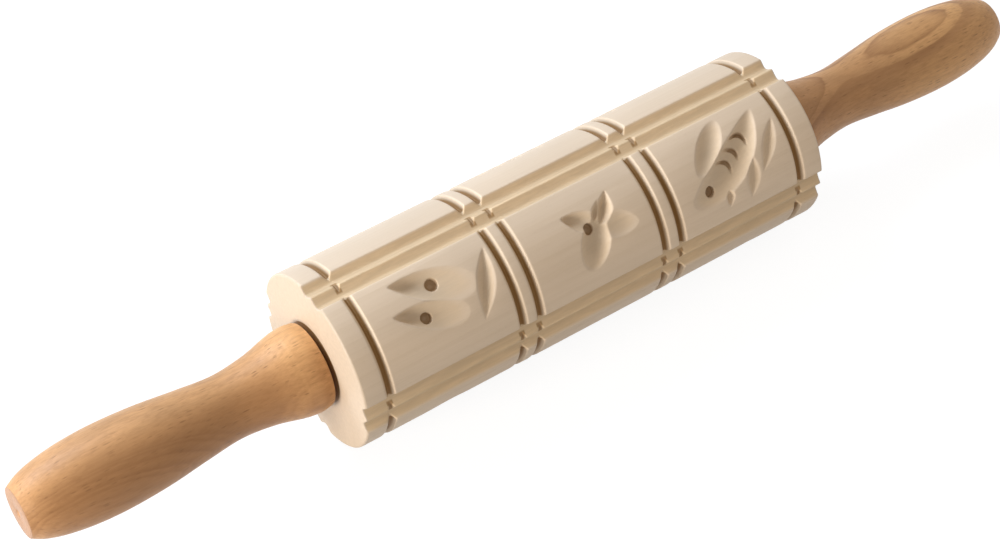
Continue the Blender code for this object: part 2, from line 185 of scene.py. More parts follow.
def blossom():
    strokes = strokes_of("petal", [
        (0.72, 0.16, 0.14, -0.11, 0.27, 0.35),
        (0.28, -0.38, -0.17, 0.60, 0.30, 1.00),
    ])
    strokes += strokes_of("scoop", [(-0.285, -0.51, 0.22, -0.08, 0.22, 0.90)])
    strokes += strokes_of("leaf", [
        (0.47, -0.63, 0.12, 0.025, 0.175, 1.15, -0.22),
        (0.318, -0.54, 0.075, -0.055, 0.105, 0.95),
    ])
    return strokes, [(0.03, -0.12, 1.04)]


def fish_among_leaves():
    strokes = strokes_of("petal", [(0.66, -0.77, -0.72, 0.46, 0.36, 1.00, -0.54)])
    strokes += strokes_of("oval", [(0.123, -0.87, -0.507, -0.02, 0.24, 0.65)])
    strokes += strokes_of("leaf", [
        (0.87, -0.46, 0.43, 0.43, 0.15, 0.55),
        (0.365, 0.05, 0.175, 0.79, 0.16, 0.55),
        (-0.115, 0.39, -0.185, 0.76, 0.10, 0.60),
    ])
    strokes += strokes_of("nick", [
        (0.08, -0.39, 0.35, -0.03, 0.056, 1.50, -4.9),
        (-0.08, -0.285, 0.13, 0.185, 0.058, 1.50, -4.1),
        (-0.29, -0.105, -0.055, 0.385, 0.056, 1.50, -5.3),
    ])
    return strokes, [(-0.405, 0.32, 1.04)]


def apple():
    strokes = strokes_of("oval", [(-0.48, -0.04, 0.38, -0.04, 0.42, 0.85)])
    strokes += strokes_of("leaf", [
        (-0.44, 0.02, -0.84, 0.20, 0.06, 0.60),
        (-0.60, 0.22, -0.28, 0.74, 0.13, 0.70),
    ])
    return strokes, []


def wheat_ear():
    stem = 0.18
    rows = [(-0.86, stem, 0.54, stem, 0.05, 0.50), (0.58, stem, 0.92, stem, 0.13, 0.70)]
    rows += paired_leaves((-0.24, 0.06, 0.36), stem, slant=0.26, width=0.12, depth=0.70)
    return strokes_of("leaf", rows), []


def tulip():
    strokes = strokes_of("petal", [
        (0.54, -0.36, -0.24, -0.04, 0.20, 0.90),
        (0.54, 0.40, -0.24, 0.10, 0.20, 0.90),
        (0.62, 0.03, -0.32, 0.03, 0.20, 0.95),
    ])
    strokes += strokes_of("leaf", [
        (-0.08, 0.03, -0.88, 0.03, 0.06, 0.55),
        (-0.38, -0.28, -0.80, -0.03, 0.12, 0.65),
        (-0.38, 0.36, -0.80, 0.09, 0.12, 0.65),
    ])
    return strokes, []


def rosette(panel, petals=8, inner=0.16, outer=0.74):
    """Petals round a drilled eye. Shares of height are turned into shares of length."""
    rows = []
    for index in range(petals):
        turn = 2 * pi * index / petals
        along = cos(turn) * panel.height / panel.reach
        across = sin(turn)
        rows.append((inner * along, inner * across, outer * along, outer * across, 0.13, 0.80))
    return strokes_of("leaf", rows), [(0.0, 0.0, 1.0)]


def fish():
    strokes = strokes_of("petal", [(0.34, 0.00, -0.72, 0.04, 0.36, 1.00)])
    strokes += strokes_of("leaf", [
        (0.26, 0.02, 0.76, -0.36, 0.13, 0.80),
        (0.26, 0.02, 0.76, 0.40, 0.13, 0.80),
        (-0.30, -0.40, 0.16, -0.56, 0.12, 0.60),
        (-0.20, 0.44, 0.14, 0.58, 0.10, 0.60),
    ])
    strokes += strokes_of("nick", [
        (-0.26, -0.20, -0.26, 0.24, 0.036, 1.50, -2.6),
        (-0.06, -0.18, -0.06, 0.22, 0.036, 1.50, -2.6),
    ])
    return strokes, [(-0.50, -0.02, 0.9)]


def clover():
    strokes = strokes_of("petal", [
        (0.00, 0.02, -0.44, -0.30, 0.25, 0.90),
        (0.00, 0.02, 0.44, -0.30, 0.25, 0.90),
        (0.00, 0.06, 0.00, -0.72, 0.25, 0.90),
    ])
    strokes += strokes_of("leaf", [
        (0.00, 0.08, 0.10, 0.80, 0.06, 0.60, 1.0),
        (0.12, 0.62, 0.54, 0.34, 0.12, 0.60),
    ])
    return strokes, []


def cherries():
    strokes = strokes_of("oval", [
        (-0.36, -0.66, 0.02, -0.66, 0.24, 0.95),
        (0.10, -0.36, 0.52, -0.36, 0.25, 0.95),
    ])
    strokes += strokes_of("leaf", [
        (-0.24, -0.58, -0.72, -0.24, 0.05, 0.50),
        (0.16, -0.34, -0.70, -0.20, 0.05, 0.50, 0.8),
        (-0.72, -0.30, -0.60, -0.88, 0.12, 0.70),
    ])
    return strokes, []


def fern():
    stem = -0.28
    rows = [(-0.88, stem, 0.76, stem, 0.05, 0.55)]
    rows += paired_leaves((-0.72, -0.42, -0.12, 0.18), stem, slant=0.24, width=0.10, depth=0.65)
    return strokes_of("leaf", rows), []


def pear():
    strokes = strokes_of("petal", [(-0.60, -0.46, 0.34, -0.44, 0.33, 1.00)])
    strokes += strokes_of("oval", [(-0.22, -0.45, 0.42, -0.45, 0.33, 1.00)])
    strokes += strokes_of("leaf", [
        (-0.54, -0.46, -0.86, -0.34, 0.05, 0.60),
        (-0.84, -0.32, -0.66, 0.20, 0.11, 0.70),
        (0.50, -0.84, 0.84, -0.24, 0.12, 0.60),
    ])
    return strokes, []


Panel = namedtuple("Panel", "reach height pitch")


def panel_shape(sizes):
    """Half length and half height of a carved panel, and the distance from one to the next."""
    bands = 2 * sizes.end_band + (PANEL_COUNT - 1) * sizes.band
    length = (BARREL_LENGTH - bands) / PANEL_COUNT
    groove_half_angle = asin(sizes.groove_width / sizes.barrel_diameter)
    height = sizes.barrel_diameter / 2 * (ROW_ANGLE / 2 - groove_half_angle)
    return Panel(length / 2, height, length + sizes.band)


def panel_middle(panel, index):
    """Where a panel's middle lies along the barrel, from the barrel's middle."""
    return (index - (PANEL_COUNT - 1) / 2) * panel.pitch


def ring_places(panel):
    """Where the turned rings lie along the barrel, from the barrel's middle."""
    places = []
    for index in range(PANEL_COUNT):
        middle = panel_middle(panel, index)
        places += [middle - panel.reach, middle + panel.reach]
    return places


def carved_rows(panel):
    """The motifs, from the row that faces the viewer, downwards round the barrel."""
    return (
        (two_petals(), blossom(), fish_among_leaves()),
        (apple(), wheat_ear(), tulip()),
        (rosette(panel), fish(), clover()),
        (cherries(), fern(), pear()),
    )


# Steps of modelling

# Points of an outline that meet within this distance on the axis become one.
WELD_GAP = 1e-6


def select_only(piece):
    bpy.ops.object.select_all(action="DESELECT")
    piece.select_set(True)
    bpy.context.view_layer.objects.active = piece


def named(name):
    """Give the object that was just added its name."""
    piece = bpy.context.object
    piece.name = name
    piece.data.name = name
    return piece


def finish_with(piece, kind, **settings):
    """Apply one modifier."""
    select_only(piece)
    step = piece.modifiers.new(kind.title(), kind)
    for key, value in settings.items():
        setattr(step, key, value)
    bpy.ops.object.modifier_apply(modifier=step.name)


def give_finish(piece, material):
    """Put one material on the whole piece."""
    piece.data.materials.clear()
    piece.data.materials.append(material)
    for face in piece.data.polygons:
        face.material_index = 0


def turn_outwards():
    """Turn all faces outwards, and leave edit mode."""
    bpy.ops.mesh.select_all(action="SELECT")
    bpy.ops.mesh.normals_make_consistent(inside=False)
    bpy.ops.object.mode_set(mode="OBJECT")


def extrude_by(way):
    """Extrude the selection to a closed solid."""
    bpy.ops.mesh.extrude_region_move(TRANSFORM_OT_translate={"value": way})
    turn_outwards()


def turned(name, outline, steps):
    """Draw an outline of (x, radius) points that starts and ends on the axis, and spin it."""
    bpy.ops.object.select_all(action="DESELECT")
    bpy.ops.mesh.primitive_plane_add(size=0.001)
    piece = named(name)
    bpy.ops.object.mode_set(mode="EDIT")
    bpy.ops.mesh.merge(type="CENTER")
    bpy.ops.transform.translate(value=(outline[0][0], 0, outline[0][1]))
    for (x0, r0), (x1, r1) in zip(outline, outline[1:]):
        bpy.ops.mesh.extrude_region_move(TRANSFORM_OT_translate={"value": (x1 - x0, 0, r1 - r0)})
    bpy.ops.mesh.select_all(action="SELECT")
    bpy.ops.mesh.spin(steps=steps, angle=2 * pi, center=(0, 0, 0), axis=(1, 0, 0))
    bpy.ops.mesh.select_all(action="SELECT")
    bpy.ops.mesh.remove_doubles(threshold=WELD_GAP)
    turn_outwards()
    return piece


def on_barrel(x, angle, radius):
    """A point at an angle from the top of the barrel towards the viewer's side."""
    return Vector((x, -radius * sin(angle), radius * cos(angle)))


def smooth_curve(points, steps):
    """Points at even steps along a cubic curve through the given points."""
    slopes = []
    for index in range(len(points)):
        before = points[max(index - 1, 0)]
        after = points[min(index + 1, len(points) - 1)]
        slopes.append((after[1] - before[1]) / (after[0] - before[0]))
    curve = []
    piece = 0
    for step in range(steps + 1):
        x = points[0][0] + (points[-1][0] - points[0][0]) * step / steps
        while piece < len(points) - 2 and x > points[piece + 1][0]:
            piece += 1
        (x0, y0), (x1, y1) = points[piece], points[piece + 1]
        width = x1 - x0
        t = (x - x0) / width
        y = (
            y0 * (1 + 2 * t) * (1 - t) ** 2 + y1 * t * t * (3 - 2 * t)
            + slopes[piece] * width * t * (1 - t) ** 2 - slopes[piece + 1] * width * t * t * (1 - t)
        )
        curve.append((x, y))
    return curve


# Barrel
TURNING_STEPS = 288
BORE_STEPS = 64
DRILL_STEPS = 32
CARVED_TRIANGLES = 185000
SANDING_ROUNDS = 4
# How far a cutter reaches past the wood.
OVERRUN = 0.001
# Points on each side of a double groove's rounded valley, and the power of its slopes.
VALLEY_STEPS = 6
VALLEY_POWER = 1.4
# Cuts along and across the patch of a stroke, how far its rim lies above the surface, and how
# far it is raised.
STROKE_CUTS = 28
STROKE_CROSS_CUTS = 12
RIM_LIFT = 0.00003
STROKE_RISE = 0.009
# Height of a drill's pointed tip as a share of its radius.
DRILL_TIP = 0.6


def barrel_outline(sizes, panel):
    """From one end on the axis, out over the rings, to the other end."""
    radius = sizes.barrel_diameter / 2
    end = BARREL_LENGTH / 2
    outline = [(-end, 0), (-end, radius - sizes.barrel_edge), (-end + sizes.barrel_edge, radius)]
    for place in ring_places(panel):
        outline += [
            (place - sizes.ring_width / 2, radius),
            (place, radius - sizes.ring_depth),
            (place + sizes.ring_width / 2, radius),
        ]
    outline += [(end - sizes.barrel_edge, radius), (end, radius - sizes.barrel_edge), (end, 0)]
    return [(x + BARREL_MIDDLE, r) for x, r in outline]


def bore_outline():
    """The axle's hole through the barrel with the seats of the two bushes."""
    clearance = 0.0003
    bore_radius = 0.005
    bush_radius = 0.0065
    bush_length = BUSH_HIGH.x - BUSH_LOW.x
    flange_radius = BUSH_HIGH.z
    flange = 0.0016
    end = BARREL_LENGTH / 2
    right = [
        (end - bush_length - clearance, bore_radius),
        (end - bush_length - clearance, bush_radius + clearance),
        (end - flange - clearance, bush_radius + clearance),
        (end - flange - clearance, flange_radius + clearance),
        (end + OVERRUN, flange_radius + clearance),
        (end + OVERRUN, 0),
    ]
    left = [(-x, r) for x, r in reversed(right)]
    return [(x + BARREL_MIDDLE, r) for x, r in left + right]


def valley_section(sizes):
    """From the crest's edge, down through a rounded valley, and up past its lip."""
    radius = sizes.barrel_diameter / 2
    top = radius + OVERRUN
    crest = sizes.crest_width / 2
    lip = sizes.groove_width / 2
    valley = sizes.groove_pitch / 2
    crest_height = radius - sizes.crest_drop
    lip_height = sqrt(radius ** 2 - lip ** 2)
    floor = radius - sizes.groove_depth
    section = []
    for step in range(-VALLEY_STEPS, VALLEY_STEPS + 1):
        share = step / VALLEY_STEPS
        reach, edge = (lip - valley, lip_height) if step > 0 else (valley - crest, crest_height)
        section.append((valley + share * reach, floor + (edge - floor) * abs(share) ** VALLEY_POWER))
    slope = VALLEY_POWER * (lip_height - floor) / (lip - valley)
    return section + [(lip + (top - lip_height) / slope, top)]


def double_groove_cutter(sizes, angle):
    """A W-shaped bar: its section is drawn, filled and extruded along the barrel."""
    right = valley_section(sizes)
    section = [(-y, z) for y, z in reversed(right)] + right
    start = BARREL_LOW.x - OVERRUN
    bpy.ops.object.select_all(action="DESELECT")
    bpy.ops.mesh.primitive_circle_add(vertices=len(section), fill_type="NOTHING")
    cutter = named("double_groove_cutter")
    turn = Matrix.Rotation(angle, 4, "X")
    for vertex, (y, z) in zip(cutter.data.vertices, section):
        vertex.co = turn @ Vector((start, y, z))
    bpy.ops.object.mode_set(mode="EDIT")
    bpy.ops.mesh.select_all(action="SELECT")
    bpy.ops.mesh.edge_face_add()
    extrude_by((BARREL_LENGTH + 2 * OVERRUN, 0, 0))
    return cutter


def width_at(form, t):
    """Half width along a stroke as a share of its largest."""
    if t <= form.widest:
        return sin(pi / 2 * t / form.widest) ** form.start
    return max(sin(pi / 2 * (1 - t) / (1 - form.widest)), 0) ** form.end


def depth_at(form, t):
    """Depth along a stroke as a share of its largest."""
    if t <= form.deepest:
        return sin(pi / 2 * t / form.deepest)
    return 1 - ((t - form.deepest) / (1 - form.deepest)) ** form.run_out


def gouge_cutter(sizes, panel, stroke, row_angle, centre_x):
    """A flat patch is bent round the barrel, sunk to the stroke's floor, and raised to a solid."""
    form = FORMS[stroke.form]
    radius = sizes.barrel_diameter / 2
    start = Vector((stroke.x0 * panel.reach, stroke.y0 * panel.height))
    finish = Vector((stroke.x1 * panel.reach, stroke.y1 * panel.height))
    along = finish - start
    side = Vector((-along.y, along.x)).normalized()
    half_width = stroke.width * panel.height
    bpy.ops.object.select_all(action="DESELECT")
    bpy.ops.mesh.primitive_grid_add(
        x_subdivisions=STROKE_CUTS, y_subdivisions=STROKE_CROSS_CUTS, size=2
    )
    cutter = named("gouge_cutter")
    for vertex in cutter.data.vertices:
        t = (1 - cos(pi * (vertex.co.x + 1) / 2)) / 2
        u = sin(pi / 2 * vertex.co.y)
        middle = start + along * t + side * (stroke.bow * half_width * 4 * t * (1 - t))
        reach = max(width_at(form, t) * half_width, RIM_LIFT)
        deepest = depth_at(form, t) * stroke.depth * sizes.carving_depth
        depth = deepest * (1 - abs(u) ** form.section) - RIM_LIFT
        place = middle + side * u * reach
        vertex.co = on_barrel(centre_x + place.x, row_angle + place.y / radius, radius - depth)
    bpy.ops.object.mode_set(mode="EDIT")
    bpy.ops.mesh.select_all(action="SELECT")
    extrude_by(on_barrel(0, row_angle, STROKE_RISE))
    return cutter


def drill_cutter(sizes, panel, hole, row_angle, centre_x):
    """A round drill with a pointed tip that stands square to the barrel's surface."""
    x_share, y_share, diameter_share = hole
    radius = sizes.barrel_diameter / 2
    hole_radius = diameter_share * sizes.hole_diameter / 2
    angle = row_angle + y_share * panel.height / radius
    tip = radius - sizes.hole_depth
    shoulder = tip + hole_radius * DRILL_TIP
    top = radius + OVERRUN
    outline = [(tip, 0), (shoulder, hole_radius), (top, hole_radius), (top, 0)]
    cutter = turned("drill_cutter", outline, DRILL_STEPS)
    cutter.rotation_euler = on_barrel(0, angle, 1).to_track_quat("X", "Z").to_euler()
    cutter.location.x = centre_x + x_share * panel.reach
    bpy.ops.object.transform_apply(location=True, rotation=True, scale=True)
    return cutter


def cut_away(piece, cutters):
    """Take all the cutters out of the piece, and throw them away."""
    group = bpy.data.collections.new("cutters")
    for cutter in cutters:
        group.objects.link(cutter)
    finish_with(piece, "BOOLEAN", operand_type="COLLECTION", collection=group, solver="MANIFOLD")
    for cutter in cutters:
        bpy.data.objects.remove(cutter)
    bpy.data.collections.remove(group)


def triangle_count(piece):
    return sum(len(face.vertices) - 2 for face in piece.data.polygons)


class PIN_OT_barrel(bpy.types.Operator):
    """Turn the barrel, carve it, sand its edges and bore it"""

    bl_idname = "pin.barrel"
    bl_label = "Carved barrel"

    def execute(self, context):
        sizes = context.scene.pin_sizes
        panel = panel_shape(sizes)
        barrel = turned("carved_barrel", barrel_outline(sizes, panel), TURNING_STEPS)
        cutters = [double_groove_cutter(sizes, index * ROW_ANGLE) for index in range(ROW_COUNT)]
        for row_index, row in enumerate(carved_rows(panel)):
            row_angle = (row_index + 0.5) * ROW_ANGLE
            for panel_index, (strokes, holes) in enumerate(row):
                middle = BARREL_MIDDLE + panel_middle(panel, panel_index)
                for stroke in strokes:
                    cutters.append(gouge_cutter(sizes, panel, stroke, row_angle, middle))
                for hole in holes:
                    cutters.append(drill_cutter(sizes, panel, hole, row_angle, middle))
        cut_away(barrel, cutters)
        finish_with(barrel, "REMESH", mode="VOXEL", voxel_size=sizes.softness)
        finish_with(barrel, "SMOOTH", factor=0.5, iterations=SANDING_ROUNDS)
        finish_with(barrel, "DECIMATE", ratio=CARVED_TRIANGLES / triangle_count(barrel))
        cut_away(barrel, [turned("bore_cutter", bore_outline(), BORE_STEPS)])
        select_only(barrel)
        bpy.ops.object.shade_smooth_by_angle(angle=radians(60))
        give_finish(barrel, linden_wood(context.scene.pin_colours, sizes, panel))
        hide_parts("barrel")
        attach(barrel, "roller")
        return {"FINISHED"}


# Handles
HANDLE_STEPS = 96
CURVE_STEPS = 180
# A handle stops this far short of the end of its solid.
END_SHY = 0.000004

# Places along a handle from its inner face, and radii, as shares of its length and radius.
HANDLE_SHAPE = (
    (0.000, 1.014), (0.040, 1.055), (0.083, 1.027), (0.0865, 1.0145), (0.091, 1.012),
    (0.104, 0.991), (0.186, 0.848), (0.300, 0.765), (0.424, 0.843), (0.560, 0.953),
    (0.700, 1.000), (0.811, 0.967), (0.900, 0.871), (0.959, 0.750), (1.000, 0.599),
)


def handle_outline(sizes):
    """From the bottom of the blind hole, out round the handle, to its end on the axis."""
    length = LEFT_HANDLE_HIGH.x - LEFT_HANDLE_LOW.x - END_SHY
    hole_depth = 0.0453
    hole_radius = 0.0043
    edge = 0.0003
    knots = [(x * length, r * sizes.handle_diameter / 2) for x, r in HANDLE_SHAPE]
    outside = smooth_curve(knots, CURVE_STEPS)
    first_radius = outside[0][1]
    last_radius = outside[-1][1]
    outside[0] = (0, first_radius - edge)
    outside.insert(1, (edge / 3, first_radius - edge / 3))
    outside[-1] = (length - edge, last_radius + edge * 0.4)
    outside += [(length - edge / 3, last_radius), (length, last_radius - edge)]
    mark_radius = sizes.centre_mark / 2
    mark_lip = 0.0002
    mark_depth = 0.0012
    mark = [(length, mark_radius), (length - mark_lip, mark_radius * 0.8), (length - mark_depth, 0)]
    return [(hole_depth, 0), (hole_depth, hole_radius), (0, hole_radius)] + outside + mark


class PIN_OT_handles(bpy.types.Operator):
    """Turn the two handles"""

    bl_idname = "pin.handles"
    bl_label = "Turned handles"

    def execute(self, context):
        sizes = context.scene.pin_sizes
        colours = context.scene.pin_colours
        outline = handle_outline(sizes)
        for side_name, side in (("left", -1), ("right", 1)):
            inner_face = -side * LEFT_HANDLE_HIGH.x
            placed = [(inner_face + side * x, r) for x, r in outline]
            handle = turned(f"turned_handle_{side_name}", placed, HANDLE_STEPS)
            select_only(handle)
            bpy.ops.object.shade_smooth_by_angle(angle=radians(40))
            give_finish(handle, beech_wood(colours, side_name))
            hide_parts(f"handle_{side_name}")
            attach(handle, "spindle")
        return {"FINISHED"}


# Finishes
class Bench:
    """Adds and links the nodes of one material."""

    def __init__(self, name):
        self.material = bpy.data.materials.new(name)
        self.material.use_nodes = True
        self.tree = self.material.node_tree
        self.shader = self.tree.nodes["Principled BSDF"]

    def add(self, kind, **settings):
        node = self.tree.nodes.new(kind)
        for key, value in settings.items():
            setattr(node, key, value)
        return node

    def link(self, source, target):
        self.tree.links.new(source, target)

    def feed(self, socket, value):
        if isinstance(value, bpy.types.NodeSocket):
            self.link(value, socket)
        else:
            socket.default_value = value

    def math(self, operation, *values):
        node = self.add("ShaderNodeMath", operation=operation)
        for socket, value in zip(node.inputs, values):
            self.feed(socket, value)
        return node.outputs[0]

    def product(self, first, *others):
        for other in others:
            first = self.math("MULTIPLY", first, other)
        return first

    def coordinates(self, scale=(1, 1, 1), rotation=(0, 0, 0), location=(0, 0, 0)):
        node = self.add("ShaderNodeMapping")
        self.link(self.add("ShaderNodeTexCoord").outputs["Object"], node.inputs["Vector"])
        node.inputs["Scale"].default_value = scale
        node.inputs["Rotation"].default_value = rotation
        node.inputs["Location"].default_value = location
        return node.outputs[0]

    def noise(self, frequency, detail=2.0, roughness=0.5):
        """Noise with a frequency along the pin and one across it, in waves per metre."""
        along, across = frequency
        node = self.add("ShaderNodeTexNoise")
        self.link(self.coordinates(scale=(along, across, across)), node.inputs["Vector"])
        node.inputs["Scale"].default_value = 1.0
        node.inputs["Detail"].default_value = detail
        node.inputs["Roughness"].default_value = roughness
        return node.outputs["Fac"]

    def cells(self, frequency):
        """Cells with a frequency along the pin and one across it."""
        along, across = frequency
        node = self.add("ShaderNodeTexVoronoi", feature="F1")
        self.link(self.coordinates(scale=(along, across, across)), node.inputs["Vector"])
        node.inputs["Scale"].default_value = 1.0
        return node.outputs

    def ramp(self, value, low, high, to_low=0.0, to_high=1.0, smooth=True):
        node = self.add("ShaderNodeMapRange", interpolation_type="SMOOTHSTEP" if smooth else "LINEAR")
        self.feed(node.inputs["Value"], value)
        node.inputs["From Min"].default_value = low
        node.inputs["From Max"].default_value = high
        node.inputs["To Min"].default_value = to_low
        node.inputs["To Max"].default_value = to_high
        return node.outputs["Result"]

    def blend(self, share, a, b):
        node = self.add("ShaderNodeMix", data_type="RGBA")
        self.feed(node.inputs["Factor"], share)
        self.feed(node.inputs[6], a)
        self.feed(node.inputs[7], b)
        return node.outputs[2]

    def shades(self, share, colour, low, high):
        """Between two brightnesses of one colour."""
        return self.blend(share, rgba(colour, low), rgba(colour, high))

    def bump(self, height, distance, strength, before=None):
        node = self.add("ShaderNodeBump")
        node.inputs["Strength"].default_value = strength
        node.inputs["Distance"].default_value = distance
        self.feed(node.inputs["Height"], height)
        if before:
            self.link(before, node.inputs["Normal"])
        return node.outputs["Normal"]

    def finish(self, colour, roughness, normal):
        self.link(colour, self.shader.inputs["Base Color"])
        self.link(roughness, self.shader.inputs["Roughness"])
        self.link(normal, self.shader.inputs["Normal"])
        return self.material


def rgba(colour, share=1.0):
    return (colour[0] * share, colour[1] * share, colour[2] * share, 1.0)


def distance_from_axis(bench, coordinates):
    """Distance from the X axis, and the three coordinates."""
    parts = bench.add("ShaderNodeSeparateXYZ")
    bench.link(coordinates, parts.inputs[0])
    flat = bench.add("ShaderNodeCombineXYZ")
    bench.link(parts.outputs["Y"], flat.inputs["Y"])
    bench.link(parts.outputs["Z"], flat.inputs["Z"])
    length = bench.add("ShaderNodeVectorMath", operation="LENGTH")
    bench.link(flat.outputs[0], length.inputs[0])
    return length.outputs["Value"], parts.outputs["X"], parts.outputs["Y"], parts.outputs["Z"]


# Depths below the barrel's surface between which each tone of its cuts sets in, in metres. All
# but the first shape painted shade in the cuts.
CUT_TONE = (0.00012, 0.0007)
WALL_PAINTED_SHADE = (0.0006, 0.0028)
VALLEY_PAINTED_SHADE = (0.0009, 0.0022)
RING_PAINTED_SHADE = (0.0005, 0.0015)
HOLE_PAINTED_SHADE = (0.0027, 0.0034)
HOLE_FLOOR = (0.0045, 0.0039)
NOTCH_PAINTED_SHADE = (0.0012, 0.0016)

# Sideways distances between which a tone sets in: from a ring's middle, from a double groove's
# middle, and from the barrel's end.
RING_REACH = (0.0016, 0.0008)
NOTCH_REACH = (0.0013, 0.0008)
CREST_REACH = (0.0028, 0.0020)
GROOVE_LIP = 0.0006
END_EDGE = (0.0005, 0.0002)

# Thickness of a year's growth, its wandering in years, and the place and tilt of the pith.
LINDEN_YEAR = 0.0042
LINDEN_WANDER = 1.6
LINDEN_PITH = (0, 0.05, 0.085)
LINDEN_TILT = (0, radians(1.2), radians(0.8))

# Painted shadow on the barrel's end, in the gap behind the handle, out to this radius. The tone fades
# this far either side.
HANDLE_SHADOW_RADIUS = 0.0140
HANDLE_SHADOW_EDGE = 0.0002


def distance_from_groove(bench, cross, up, radius):
    """Distance round the barrel from the middle of the nearest double groove."""
    angle = bench.math("ARCTAN2", cross, up)
    fold = bench.math("WRAP", angle, ROW_ANGLE / 2, -ROW_ANGLE / 2)
    return bench.product(bench.math("ABSOLUTE", fold), radius)


def distance_from_ring(bench, from_middle, panel):
    """Distance along the barrel from the middle of the nearest ring."""
    nearest = 1.0
    for place in ring_places(panel):
        distance = bench.math("ABSOLUTE", bench.math("SUBTRACT", from_middle, place))
        nearest = bench.math("MINIMUM", distance, nearest)
    return nearest


def linden_wood(colours, sizes, panel):
    """Pale close-grained wood: faint growth bands and fibres, a warmer tone where it is cut, and painted
    shade deep in the cuts and on its ends behind the handles.
    """
    bench = Bench("linden_wood")
    radius = sizes.barrel_diameter / 2
    from_axis, along, cross, up = distance_from_axis(bench, bench.coordinates())
    from_middle = bench.math("SUBTRACT", along, BARREL_MIDDLE)
    to_middle = bench.math("ABSOLUTE", from_middle)
    from_groove = distance_from_groove(bench, cross, up, radius)
    from_ring = distance_from_ring(bench, from_middle, panel)

    def below(depths, to_low=0.0, to_high=1.0, smooth=True):
        start, stop = depths
        return bench.ramp(from_axis, radius - start, radius - stop, to_low, to_high, smooth)

    # Growth bands, patches and fibres of the sanded face
    grown = bench.coordinates(location=LINDEN_PITH, rotation=LINDEN_TILT)
    from_pith = distance_from_axis(bench, grown)[0]
    years = bench.product(from_pith, 1 / LINDEN_YEAR)
    wander = bench.product(bench.noise((5, 30)), LINDEN_WANDER)
    year = bench.math("FRACT", bench.math("ADD", years, wander))
    late_wood = bench.product(bench.ramp(year, 0.45, 0.95), bench.ramp(year, 1.0, 0.95), 0.10)
    fibres = bench.noise((40, 1400), detail=3.0, roughness=0.6)
    fibre = bench.ramp(fibres, 0.35, 0.75, 0.0, 0.07)
    patches = bench.noise((14, 40), detail=3.0)
    colour = bench.shades(bench.ramp(patches, 0.30, 0.72), colours.linden, 0.965, 1.03)
    colour = bench.blend(late_wood, colour, rgba(colours.linden_cut, 0.80))
    colour = bench.blend(fibre, colour, rgba(colours.linden_cut, 0.72))

    # Cuts: warm walls in the double grooves and fainter ones elsewhere; painted shade darkens the
    # other cuts with depth, and the bottoms of the valleys
    end = BARREL_LENGTH / 2
    on_side = bench.math("LESS_THAN", to_middle, end - END_EDGE[0])
    cut = bench.product(below(CUT_TONE), on_side)
    lip = sizes.groove_width / 2
    beside_groove = bench.ramp(from_groove, lip - GROOVE_LIP, lip)
    in_groove = bench.ramp(beside_groove, 1.0, 0.0, smooth=False)
    cut_fibres = bench.noise((120, 900), detail=3.0)
    cut_colour = bench.shades(bench.ramp(cut_fibres, 0.35, 0.70), colours.linden_cut, 0.93, 1.05)
    tint = bench.product(cut, bench.ramp(beside_groove, 0.0, 1.0, 0.85, 0.35, smooth=False))
    painted_wall_shade = bench.product(cut, beside_groove, below(WALL_PAINTED_SHADE, 0.0, 0.30, smooth=False))
    valley = bench.product(cut, below(VALLEY_PAINTED_SHADE, 0.0, 0.14), in_groove)
    colour = bench.blend(tint, colour, cut_colour)
    # Painted shade: the cut colour, darkened, deep in the walls and at the valleys' bottoms
    colour = bench.blend(painted_wall_shade, colour, rgba(colours.linden_cut, 0.42))
    colour = bench.blend(valley, colour, rgba(colours.linden_cut, 0.55))

    # Painted shade at the bottoms of the rings and holes, and of the notches that the rings leave in a
    # crest
    ring_shade = bench.product(bench.ramp(from_ring, *RING_REACH), below(RING_PAINTED_SHADE))
    hole_shade = bench.product(on_side, below(HOLE_PAINTED_SHADE), below(HOLE_FLOOR, 0.15, 0.60))
    painted_shade = bench.product(beside_groove, bench.math("MAXIMUM", ring_shade, hole_shade))
    on_crest = bench.product(bench.ramp(from_groove, *CREST_REACH), bench.ramp(from_ring, *NOTCH_REACH))
    notch_shade = bench.product(on_crest, below(NOTCH_PAINTED_SHADE, 0.0, 0.80))
    painted_shade = bench.product(bench.math("MAXIMUM", painted_shade, notch_shade), 0.95)
    colour = bench.blend(painted_shade, colour, rgba(colours.linden_painted_shade))

    # End grain, with a painted shadow in the gap behind the handle
    at_end = bench.ramp(to_middle, end - END_EDGE[0], end - END_EDGE[1])
    end_fibres = bench.noise((1, 700), detail=4.0)
    end_colour = bench.shades(bench.ramp(end_fibres, 0.3, 0.7), colours.linden_end, 0.97, 1.03)
    colour = bench.blend(at_end, colour, end_colour)
    # Painted shadow on the end inside the handle's radius
    inside = bench.ramp(from_axis, HANDLE_SHADOW_RADIUS + HANDLE_SHADOW_EDGE, HANDLE_SHADOW_RADIUS - HANDLE_SHADOW_EDGE)
    colour = bench.blend(bench.product(at_end, inside, 0.90), colour, rgba(colours.linden_painted_shade))

    pore = bench.ramp(bench.cells((260, 2600))["Distance"], 0.16, 0.05)
    colour = bench.blend(bench.product(pore, 0.18), colour, rgba(colours.linden_cut, 0.45))

    bench.shader.inputs["Specular IOR Level"].default_value = 0.45
    normal = bench.bump(fibres, 0.00003, 0.6)
    normal = bench.bump(cut_fibres, 0.00008, 0.5, normal)
    return bench.finish(colour, bench.ramp(fibres, 0.3, 0.8, 0.50, 0.64), normal)
